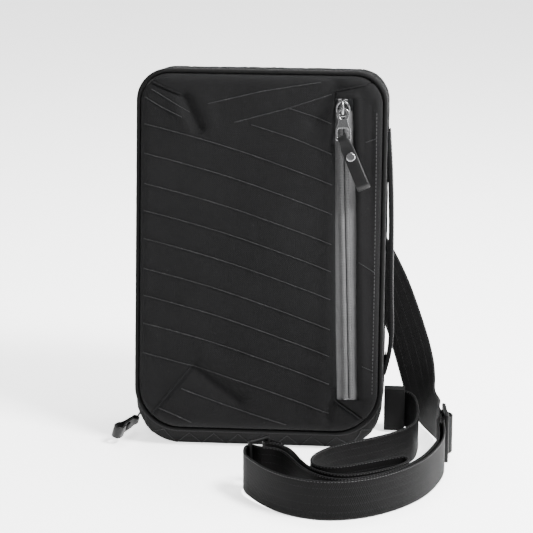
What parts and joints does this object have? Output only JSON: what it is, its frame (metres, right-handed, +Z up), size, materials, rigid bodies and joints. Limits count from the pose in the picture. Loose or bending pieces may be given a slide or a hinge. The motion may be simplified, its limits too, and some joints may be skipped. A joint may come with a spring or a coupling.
{
  "type": "sling bag",
  "caption": "Soft rectangular sling bag standing on its base: ridged front with zipped pocket, two-way main zipper, side grab handle and webbing shoulder strap with adjuster.",
  "frame": {"origin": "on the ground in the middle of the back shell's flat foot, midway across its width", "axes": "+Z up, the ridged front faces -Y, +X is the right side with the grab handle"},
  "size_m": [0.2781, 0.2708, 0.303],
  "materials": {
    "shell_cloth": "coated woven nylon with raised ripstop ridges, satin",
    "back_mesh": "air mesh over foam, matt",
    "lining_cloth": "plain woven polyester, matt",
    "elastic": "folded elastic binding",
    "frame_plastic": "extruded polyethylene sheet",
    "zip_tape": "woven tape with coated face",
    "zip_coil": "nylon coil with stitch rows",
    "nickel": "dark nickel plate, polished",
    "glide_metal": "black painted zinc, satin",
    "tab_leather": "smooth leather strip, low sheen",
    "webbing": "fine ribbed nylon webbing, slight sheen"
  },
  "bodies": {
    "back_shell": {"rear_gusset": "shell_cloth", "rear_piping": "shell_cloth", "rear_panel": "back_mesh", "rear_lining": "lining_cloth", "frame_sheet": "frame_plastic", "sleeve_panel": "lining_cloth", "sleeve_binding": "elastic", "rear_zip_tape": "zip_tape", "rear_zip_coil": "zip_coil", "main_zip_stops": "nickel", "hinge_fabric_rear": "shell_cloth", "side_handle": "webbing", "handle_patches": "shell_cloth", "strap_anchor_patch": "shell_cloth", "strap_anchor_tab": "shell_cloth", "main_strap": "webbing", "lower_strap": "webbing", "tri_glide": "glide_metal", "strap_ring": "nickel"},
    "cover": {"front_gusset": "shell_cloth", "front_piping": "shell_cloth", "front_panel": "shell_cloth", "front_side_strip": "shell_cloth", "pocket_backing": "lining_cloth", "front_lining": "lining_cloth", "front_zip_tape": "zip_tape", "front_zip_coil": "zip_coil", "hinge_fabric_front": "shell_cloth", "pocket_tape_left": "zip_tape", "pocket_tape_right": "zip_tape", "pocket_coil_left": "zip_coil", "pocket_coil_right": "zip_coil", "pocket_zip_stops": "nickel"},
    "pocket_runner": {"pocket_slider": "nickel", "pocket_slider_bridge": "nickel"},
    "pocket_link": {"pocket_pull_link": "nickel"},
    "pocket_tab": {"pocket_pull_tab": "tab_leather", "pocket_pull_rivet": "nickel"},
    "side_runner": {"side_slider": "nickel", "side_slider_bridge": "nickel"},
    "side_ring": {"side_pull_ring": "nickel"},
    "side_tab": {"side_pull_tab": "tab_leather", "side_pull_rivet": "nickel"},
    "base_runner": {"base_slider": "nickel", "base_slider_bridge": "nickel"},
    "base_link": {"base_pull_link": "nickel"}
  },
  "joints": [
    {"name": "cover_hinge", "type": "hinge", "parent": "back_shell", "child": "cover", "pos_m": [0.0995, 0.00596, 0.16198], "axis": [0, 0.1564, 0.9877], "range_deg": [0, 28]},
    {"name": "pocket_zip_slide", "type": "slide", "parent": "cover", "child": "pocket_runner", "axis": [0.0366, -0.1563, -0.987], "range_m": [0, 0.222]},
    {"name": "pocket_link_swing", "type": "hinge", "parent": "pocket_runner", "child": "pocket_link", "pos_m": [0.06539, -0.01907, 0.27631], "axis": [-0.9993, -0.0057, -0.0362], "range_deg": [0, 105]},
    {"name": "pocket_tab_swing", "type": "hinge", "parent": "pocket_link", "child": "pocket_tab", "pos_m": [0.06629, -0.02499, 0.25255], "axis": [-0.9993, -0.0057, -0.0362], "range_deg": [0, 60]},
    {"name": "side_zip_slide", "type": "slide", "parent": "back_shell", "child": "side_runner", "axis": [0, 0.1564, 0.9877], "range_m": [0, 0.24]},
    {"name": "side_ring_swing", "type": "hinge", "parent": "side_runner", "child": "side_ring", "pos_m": [-0.0943, -0.01595, 0.02371], "axis": [0, 0.9877, -0.1564], "range_deg": [0, 54]},
    {"name": "side_tab_swing", "type": "hinge", "parent": "side_ring", "child": "side_tab", "pos_m": [-0.10429, -0.02284, 0.01087], "axis": [-0.5878, -0.1266, -0.7991], "range_deg": [-30, 0]},
    {"name": "base_zip_slide", "type": "slide", "parent": "back_shell", "child": "base_runner", "axis": [1, 0, 0], "range_m": [0, 0.152]},
    {"name": "base_link_swing", "type": "hinge", "parent": "base_runner", "child": "base_link", "pos_m": [-0.0765, -0.01873, 0.00612], "axis": [0, 0.9877, -0.1564], "range_deg": [0, 80]}
  ]
}
